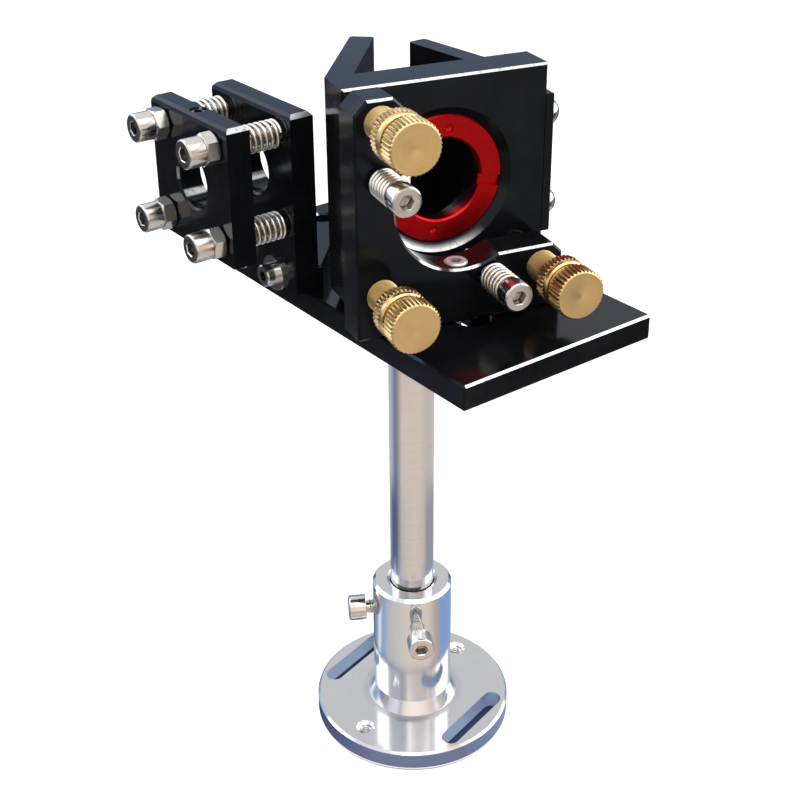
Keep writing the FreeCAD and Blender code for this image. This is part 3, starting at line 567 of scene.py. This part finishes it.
def coil(solid, length, turns, start_turn):
    """A compression spring with closed ends, as a round wire along a helix of changing rise."""
    steps = int(turns * TURN_STEPS)
    centre = (SPRING_DIA - WIRE_DIA) / 2
    wire = WIRE_DIA / 2
    open_rise = (length - WIRE_DIA - CLOSED_TURNS * CLOSED_RISE) / (turns - CLOSED_TURNS)
    height = wire
    line = []
    for k in range(steps + 1):
        turn = k / TURN_STEPS
        line.append((turn, height))
        blend = min(1.0, max(0.0, (min(turn, turns - turn) - OPENS_AFTER) / OPENS_OVER))
        height += (CLOSED_RISE + (open_rise - CLOSED_RISE) * blend) / TURN_STEPS
    excess = line[-1][1] - (length - wire)
    rings = []
    for k, (turn, height) in enumerate(line):
        z = height - excess * k / steps
        t = 2 * math.pi * (turn + start_turn)
        ring = []
        for j in range(WIRE_SIDES):
            u = 2 * math.pi * j / WIRE_SIDES
            r = centre + wire * math.cos(u)
            ring.append(solid.add(r * math.cos(t), r * math.sin(t), z + wire * math.sin(u)))
        rings.append(ring)
    for a, b in zip(rings, rings[1:]):
        for j in range(WIRE_SIDES):
            i = (j + 1) % WIRE_SIDES
            solid.faces.append([a[j], a[i], b[i], b[j]])
    solid.faces.append(rings[0][::-1])
    solid.faces.append(rings[-1])


# Thumbscrews and lock rings, with heights from the adjuster plate's front face. A screw's end reaches a
# little past the centre of its ball.

TEETH = 38
TOOTH_STEPS = 8
KNURL_DEPTH = 0.46
KNURL = 6.0
SHANK = 3.52
NECK = 4.7
NECK_START = 12.25
FINE_PITCH = 0.5
RING_START = 8.0
RING_END = 12.3
RING_BORE = 3.87
BALL_RADIUS = 2.25
CORNER_SEAT_DEPTH = 2.0
BALL_HELD = 0.5


def tooth(t):
    """How deep a straight knurl is cut at an angle, from 0 on a crest to 1 in a groove."""
    phase = (t * TEETH / (2 * math.pi)) % 1.0
    return min(1.0, max(0.0, 4.0 * abs(phase - 0.5) - 0.3))


def knurled(base, share=1.0):
    """A knurled radius, whose grooves have a share of their full depth."""
    return lambda t: base - KNURL_DEPTH * share * tooth(t)


def thumbscrew(knob):
    """A brass thumbscrew that holds a ball against the block, and the lock ring on its thread."""
    s, z = KNOBS[knob]
    ball = -BALL_RADIUS
    if knob == "corner":
        ball = CORNER_SEAT_DEPTH - BALL_RADIUS * math.sqrt(2)
    tip = PLATE_FACE - (ball + BALL_HELD)
    solid = Solid(on_head(s, PLATE_FACE, z), FRONT, ALONG)
    solid.rows([
        (0, tip), (SHANK - 0.12, tip), (SHANK, tip + 0.2), (SHANK, NECK_START - 0.05),
        (NECK, NECK_START), (NECK, KNOB_START), (5.05, KNOB_START + 0.02), (5.48, KNOB_START + 0.6),
        (5.48, KNOB_START + 0.75), (knurled(5.86, 0.55), KNOB_START + 0.9),
        (knurled(KNURL), KNOB_START + 1.05), (knurled(KNURL), KNOB_END - 0.6),
        (knurled(5.88, 0.55), KNOB_END - 0.36), (5.58, KNOB_END - 0.1), (5.42, KNOB_END),
        (0.35, KNOB_END - 0.02), (0, KNOB_END - 0.1)], TEETH * TOOTH_STEPS)
    solid.thread(SHANK - 0.02, SHANK + 0.27, FINE_PITCH, tip + 0.1, NECK_START + 0.05, 48)
    solid.make(knob + "_thumbscrew", brass_looks[knob], knob + "_knob", (knob + "_thumbscrew",), 28.0)
    ring = Solid(on_head(s, PLATE_FACE, z), FRONT, ALONG)
    ring.rows([
        (RING_BORE, 11.95), (RING_BORE, 8.35), (4.2, RING_START), (5.33, RING_START), (5.58, 8.05),
        (knurled(5.88, 0.55), 8.25), (knurled(KNURL), 8.45), (knurled(KNURL), 10.6),
        (knurled(5.86, 0.55), 10.75), (5.5, 10.9), (5.68, 11.0), (5.64, 11.9), (5.3, RING_END),
        (4.2, RING_END), (RING_BORE, 11.95)], TEETH * TOOTH_STEPS)
    ring.make(knob + "_lock_ring", brass_looks[knob], knob + "_ring", (knob + "_lock_ring",), 28.0)


for knob in KNOBS:
    thumbscrew(knob)

# Pull screws and their springs

PULL_HEAD_SEAT = -21.5
PULL_LENGTH = 29.5
PULL_SPRING_FOOT = -11.95

for pull, (s, z) in PULLS.items():
    cap_screw(pull + "_pull_screw", on_head(s, PULL_HEAD_SEAT, z), INTO, pull + "_pull", PULL_LENGTH, 2.4, UP)
    spring = Solid(on_head(s, PULL_SPRING_FOOT, z), FRONT, UP)
    coil(spring, 9.3, 6.6, 0.35)
    spring.make(pull + "_pull_spring", wire_look, "head", (pull + "_pull_spring",), 60.0)

# Pointer holder's screws, nuts and springs: each one's y and z, and the turn it is left at in radians

POINTER = {
    "upper_left": (33.8, 179.15, 0.1), "upper_right": (10.2, 179.15, 0.55),
    "lower_left": (33.8, 156.35, 0.3), "lower_right": (10.2, 156.35, 0.8)}
POINTER_AXIS = Vector((1, 0, 0))
POINTER_SEAT = -51.35
POINTER_NUT = -51.3
POINTER_LENGTH = 26.05
POINTER_SPRING_FOOT = -41.45
NUT_TURN = 0.4


def leaning(turn):
    """A direction square to the pointer's axis, turned by an angle in radians."""
    return Vector((0, math.cos(turn), math.sin(turn)))


springs = Solid((0, 0, 0), POINTER_AXIS, leaning(0))
for corner, (y, z, turn) in POINTER.items():
    cap_screw("pointer_screw_" + corner, Vector((POINTER_SEAT, y, z)) * MM, POINTER_AXIS,
              corner + "_screw", POINTER_LENGTH, 2.4, leaning(turn), head=4.5)
    hex_nut("pointer_nut_" + corner, Vector((POINTER_NUT, y, z)) * MM, POINTER_AXIS,
            corner + "_nut", leaning(turn + NUT_TURN))
    springs.at = Vector((POINTER_SPRING_FOOT, y, z)) * MM
    coil(springs, 10.1, 6.9, turn)
springs.make("pointer_springs", wire_look, "pointer_springs", ("pointer_springs",), 60.0)

# Button head screws in the side plate

SIDE_SCREW_PLACE = (52.9, 5.25)
SIDE_SCREW_RISE = 11.2
BUTTON_RIM = 3.5
BUTTON_HEIGHT = 2.9
BUTTON_SOCKET = 2.5
BUTTON_SHANK = 1.5
BUTTON_LENGTH = 7.3
DOME_FROM, DOME_TO = math.radians(8), math.radians(56)
DOME_STEPS = 7


def button_head(solid, rim, head, shank, length):
    """A domed head with a hexagon socket over a plain shank."""
    flat = hexagon(BUTTON_SOCKET)
    dome = []
    for k in range(DOME_STEPS + 1):
        a = DOME_TO + (DOME_FROM - DOME_TO) * k / DOME_STEPS
        dome.append((rim * math.cos(a), -head * math.sin(a) / math.sin(DOME_TO)))
    solid.rows([
        (0, -head * 0.35), (flat, -head * 0.42), (flat, -head + 0.12), (lambda t: flat(t) + 0.12, -head),
        *dome, (rim, -0.15), (rim - 0.12, 0), (shank - 0.05, 0), (shank - 0.05, length - 0.3),
        (shank - 0.35, length), (0, length)], SCREW_SIDES)


side_screws = Solid((0, 0, 0), -ALONG, UP)
for rise in (-SIDE_SCREW_RISE, SIDE_SCREW_RISE):
    side_screws.at = on_head(*SIDE_SCREW_PLACE, APERTURE[2] + rise)
    button_head(side_screws, BUTTON_RIM, BUTTON_HEIGHT, BUTTON_SHANK, BUTTON_LENGTH)
side_screws.make("side_plate_screws", steel_look, "block", ("side_plate_screws",))

# Floors of the red ring's two spanner holes

SPANNER_RIM = 0.89
SPANNER_RADIUS = 12.2
SPANNER_LEAN = math.radians(9)
RING_SEAT = 1.0

floors = Solid((0, 0, 0), INTO, UP)
for way in (-1, 1):
    s = APERTURE[0] + way * SPANNER_RADIUS * math.sin(SPANNER_LEAN)
    z = APERTURE[2] + way * SPANNER_RADIUS * math.cos(SPANNER_LEAN)
    floors.at = on_head(s, RING_SEAT, z)
    floors.rows([(0, 1.0), (SPANNER_RIM, 0.5), (SPANNER_RIM, 1.6), (0, 1.6)], 24)
floors.make("ring_hole_floors", red_look, "block")

# Clamp screws in the hub: their turn from +X in degrees, and how far the head stands off the hub

FLANGE_TURN = 14.5
HUB_RADIUS = 11.0
HUB_SCREW_Z = 36.0
HUB_SCREW_REACH = 6.15
HUB_SCREWS = {"front": (FLANGE_TURN - 135.0, 4.8), "side": (FLANGE_TURN + 135.0, 2.2)}

for name, (angle, neck) in HUB_SCREWS.items():
    t = math.radians(angle)
    out = Vector((math.cos(t), math.sin(t), 0))
    seat = out * ((HUB_RADIUS + neck) * MM) + UP * (HUB_SCREW_Z * MM)
    cap_screw("base_clamp_screw_" + name, seat, -out, name + "_clamp",
              HUB_RADIUS + neck - HUB_SCREW_REACH, 2.7, UP, head=4.8)

# Threads in the flange's two fixing holes

HOLE_RADIUS = 21.5
HOLE_THREAD_FOOT = 0.6

for letter, side in (("a", 0.0), ("b", math.pi)):
    t = math.radians(FLANGE_TURN) + side
    foot = Vector((HOLE_RADIUS * math.cos(t), HOLE_RADIUS * math.sin(t), HOLE_THREAD_FOOT)) * MM
    hole = Solid(foot, UP, UP.orthogonal())
    hole.thread(1.74, 1.50, M4_PITCH, 0.0, 4.9)
    hole.make("flange_thread_" + letter, hole_look, "base")


# Stage, lights and camera

def stage_object(name, vertices, faces, material):
    made = mesh_object(name, vertices, faces, material)
    return made


FLOOR_HALF = 6
# Painted shadow: the floor under the flange, seen through its slots, is coloured dark navy
UNDER_FLANGE = (0.0268, 0.0274)
UNDER_FLANGE_SHADOW = (0.06, 0.08, 0.16)
PAPER = ((0.80, 0.80, 0.81), (0.84, 0.84, 0.84))
GLOW_SPAN = (0.4, 1.4)
GLOW_LEVEL = (0.45, 0.62)


def floor_look():
    """White where the camera, a gloss or a lens sees it, with the shadow kept, and a painted shadow under the
    flange.
    """
    look = Look("floor_white", None, Roughness=0.9, Specular_IOR_Level=0.0)
    place = look.place()
    far = look.vector("LENGTH", place)
    clear = look.range(far, *UNDER_FLANGE)
    paper = look.mix_colour(look.range(look.noise(40.0, 4.0, 0.5, vector=place), 0.3, 0.7), *PAPER)
    look.set("Base Color", look.mix_colour(clear, UNDER_FLANGE_SHADOW, paper))
    level = look.range(far, *GLOW_SPAN, *GLOW_LEVEL)
    strength = look.math("MULTIPLY", look.math("MULTIPLY", look.seen(), clear), level)
    glow = look.node("ShaderNodeEmission", {"Color": (1, 1, 1, 1)}, Strength=strength)
    total = look.feed(look.node("ShaderNodeAddShader"), look.shader.outputs[0], glow.outputs[0])
    look.link(total.outputs[0], look.surface)
    return look


square = [(x * FLOOR_HALF, y * FLOOR_HALF, 0) for x, y in ((-1, -1), (1, -1), (1, 1), (-1, 1))]
stage_object("floor", square, [(0, 1, 2, 3)], floor_look().material)

# Tones for painted reflections that the metal mirrors, in warm, blue and dark hues. They were set by
# comparing renders with the photograph.

WHITE = (1.0, 1.0, 1.0)
WARM = (0.80, 0.70, 0.62)
SAND = (0.68, 0.61, 0.56)
ROSE = (0.58, 0.44, 0.37)
PALE = (0.55, 0.58, 0.63)
GREY = (0.37, 0.38, 0.43)
SKY = (0.27, 0.42, 0.70)
HAZE = (0.38, 0.50, 0.72)
STEEL_BLUE = (0.30, 0.40, 0.57)
DUSK = (0.20, 0.23, 0.36)
NAVY = (0.10, 0.13, 0.26)
NIGHT = (0.05, 0.06, 0.13)
DIM = (0.15, 0.14, 0.14)
SHADE = (0.06, 0.06, 0.07)

# Low glowing disc seen only in gloss, which paints reflections into the metal. Each ring of it begins at a
# radius in metres and lists tones by their share of a turn from +X.

PAINTED_REFLECTION_RINGS = [
    (0.000, [(0.05, NAVY), (0.25, STEEL_BLUE), (0.80, STEEL_BLUE), (0.93, NAVY)]),
    (0.026, [(0.03, SKY), (0.15, NAVY), (0.25, NIGHT), (0.40, NIGHT), (0.50, NAVY), (0.58, DUSK),
             (0.74, DUSK), (0.93, SKY)]),
    (0.034, [(0.00, SKY), (0.15, HAZE), (0.27, NAVY), (0.34, HAZE), (0.36, WHITE), (0.40, SKY),
             (0.46, PALE), (0.61, WARM), (0.76, WARM), (0.83, ROSE), (0.88, SKY)]),
    (0.072, [(0.05, GREY), (0.21, PALE), (0.33, NAVY), (0.41, NAVY), (0.46, GREY), (0.51, SAND),
             (0.70, WARM), (0.82, SAND), (0.88, GREY)]),
    (0.120, [(0.03, SAND), (0.12, PALE), (0.30, PALE), (0.40, DUSK), (0.45, GREY), (0.51, WARM),
             (0.75, WARM), (0.88, SAND)]),
    (0.250, [(0.00, SHADE), (0.35, SHADE), (0.42, DIM), (0.50, DIM), (0.78, SAND), (0.84, DIM),
             (0.90, SHADE), (0.95, GREY)])]
REFLECTOR_RADIUS = 1.6
REFLECTOR_SIDES = 36
REFLECTOR_HEIGHT = 0.001
RING_BLEND = 0.06


def glow_look(name):
    """A plain emitter for painted reflections, and its node."""
    look = Look(name, None)
    look.tree.nodes.remove(look.shader)
    glow = look.node("ShaderNodeEmission")
    look.link(glow.outputs[0], look.surface)
    return look, glow


def only_in_gloss(made):
    made.visible_camera = made.visible_diffuse = made.visible_transmission = False
    made.visible_shadow = made.visible_volume_scatter = False


def turn_share(look, place):
    """How far round the part a place lies, from +X, as a share of a turn."""
    separate = look.node("ShaderNodeSeparateXYZ", Vector=place)
    turn = look.math("ARCTAN2", separate.outputs["Y"], separate.outputs["X"])
    return look.math("FRACT", look.math("ADD", look.math("DIVIDE", turn, 2 * math.pi), 1.0))


def tone_ramp(look, turn, tones):
    """Tones by their share of a turn, which meet where the turn closes."""
    ramp = look.node("ShaderNodeValToRGB", Fac=turn)
    stops = ramp.color_ramp.elements
    stops.remove(stops[1])
    first, last = tones[0], tones[-1]
    part = (1.0 - last[0]) / (first[0] + 1.0 - last[0])
    seam = tuple(a + (b - a) * part for a, b in zip(last[1], first[1]))
    every = [(0.0, seam)] * (first[0] > 0) + tones + [(1.0, seam)]
    for i, (position, tone) in enumerate(every):
        stop = stops[0] if i == 0 else stops.new(position)
        stop.position = position
        stop.color = (*tone, 1.0)
    return ramp.outputs["Color"]


def round_points(radius, sides, z):
    """Points round the axis at a height, in metres."""
    turns = [2 * math.pi * i / sides for i in range(sides)]
    return [(radius * math.cos(t), radius * math.sin(t), z) for t in turns]


look, glow = glow_look("painted_reflection_tones")
place = look.place()
turn = turn_share(look, place)
out = look.vector("LENGTH", place)
colour = tone_ramp(look, turn, PAINTED_REFLECTION_RINGS[0][1])
for start, tones in PAINTED_REFLECTION_RINGS[1:]:
    beyond = look.range(out, start * (1 - RING_BLEND), start * (1 + RING_BLEND))
    colour = look.mix_colour(beyond, colour, tone_ramp(look, turn, tones))
look.link(colour, glow.inputs["Color"])
disc = round_points(REFLECTOR_RADIUS, REFLECTOR_SIDES, REFLECTOR_HEIGHT)
only_in_gloss(stage_object("reflector", disc, [tuple(range(REFLECTOR_SIDES))], look.material))

# A glowing wall far round the part, seen only in gloss, which paints reflections into the metal: toned up to
# a height and white above it. Its painted reflection is toned higher and brighter on the side that the hub's
# foot and the flange's top mirror between them.

WALL_RADIUS = 1.6
WALL_TOP = 1.6
WALL_TONED_TO, WALL_WHITE_FROM = 0.78, 0.95
WALL_SIDES = 72
TALL_FROM = (0.22, 0.27)
TALL_TO = (0.95, 0.99)
TALL_BY = 0.65
TALL_GAIN = 0.5
PAINTED_WALL_REFLECTIONS = [
    (0.00, STEEL_BLUE), (0.21, STEEL_BLUE), (0.36, STEEL_BLUE), (0.40, WHITE), (0.43, WHITE), (0.46, PALE),
    (0.54, PALE), (0.56, GREY), (0.59, SAND), (0.65, WARM), (0.73, SAND), (0.79, ROSE), (0.83, WHITE),
    (0.96, WHITE), (0.99, PALE)]

look, glow = glow_look("painted_reflection_wall_tones")
place = look.place()
turn = turn_share(look, place)
tall = look.math("MULTIPLY", look.range(turn, *TALL_FROM), look.range(turn, *TALL_TO, 1.0, 0.0))
height = look.node("ShaderNodeSeparateXYZ", Vector=place).outputs["Z"]
height = look.math("SUBTRACT", height, look.math("MULTIPLY", tall, TALL_BY))
rise = look.range(height, WALL_TONED_TO, WALL_WHITE_FROM)
look.link(look.mix_colour(rise, tone_ramp(look, turn, PAINTED_WALL_REFLECTIONS), WHITE), glow.inputs["Color"])
look.link(look.math("ADD", look.math("MULTIPLY", tall, TALL_GAIN), 1.0), glow.inputs["Strength"])
wall = round_points(WALL_RADIUS, WALL_SIDES, REFLECTOR_HEIGHT)
wall += round_points(WALL_RADIUS, WALL_SIDES, WALL_TOP)
panels = []
for i in range(WALL_SIDES):
    j = (i + 1) % WALL_SIDES
    panels.append((i, j, j + WALL_SIDES, i + WALL_SIDES))
only_in_gloss(stage_object("painted_reflection_wall", wall, panels, look.material))

# White background where it is seen, and less bright as a light

SKY_LIGHT = 0.55

world = bpy.data.worlds.new("studio")
bpy.context.scene.world = world
world.use_nodes = True
sky = Nodes(world.node_tree)
background = sky.tree.nodes["Background"].inputs
background["Color"].default_value = (1.0, 1.0, 1.0, 1.0)
sky.link(sky.range(sky.seen(), 0.0, 1.0, SKY_LIGHT, 1.0), background["Strength"])

# Soft lamps, each with its place, its width and height, and its power in watts

LAMPS = {
    "key": ((-0.2, -0.6, 1.3), (1.3, 0.9), 6.5),
    "fill": ((0.85, -0.35, 0.55), (0.9, 0.9), 4.5),
    "rim": ((-0.5, 0.75, 0.7), (0.9, 0.8), 4.0)}
LAMP_TARGET = Vector((0, 0, 0.11))

for name, (place, size, power) in LAMPS.items():
    data = bpy.data.lights.new(name, "AREA")
    data.shape = "RECTANGLE"
    data.size, data.size_y = size
    data.energy = power
    lamp = bpy.data.objects.new(name, data)
    bpy.context.scene.collection.objects.link(lamp)
    lamp.location = place
    lamp.rotation_mode = "QUATERNION"
    lamp.rotation_quaternion = (LAMP_TARGET - Vector(place)).to_track_quat("-Z", "Y")

# Camera, placed as the photograph was taken, with lengths of the picture in pixels

PICTURE = 800
FOCAL_LENGTH = 1372.9
PICTURE_CENTRE = (380.683, 306.678)
SENSOR = 36.0
CAMERA_PLACE = Vector((-191.427, -248.537, 280.311)) * MM
AZIMUTH, PITCH, ROLL = math.radians(53.799), math.radians(25.724), math.radians(0.827)

forward = Vector((math.cos(AZIMUTH) * math.cos(PITCH), math.sin(AZIMUTH) * math.cos(PITCH),
                  -math.sin(PITCH)))
right = Vector((math.sin(AZIMUTH), -math.cos(AZIMUTH), 0))
down = forward.cross(right)
right, down = right * math.cos(ROLL) + down * math.sin(ROLL), down * math.cos(ROLL) - right * math.sin(ROLL)
camera_data = bpy.data.cameras.new("camera")
camera_data.sensor_width = SENSOR
camera_data.lens = FOCAL_LENGTH / PICTURE * SENSOR
camera_data.shift_x = (PICTURE / 2 - PICTURE_CENTRE[0]) / PICTURE
camera_data.shift_y = (PICTURE_CENTRE[1] - PICTURE / 2) / PICTURE
camera_data.clip_start = 0.01
camera = bpy.data.objects.new("camera", camera_data)
bpy.context.scene.collection.objects.link(camera)
pose = Matrix((right, -down, -forward)).transposed().to_4x4()
pose.translation = CAMERA_PLACE
camera.matrix_world = pose
bpy.context.scene.camera = camera
bpy.context.scene.view_settings.view_transform = "Standard"
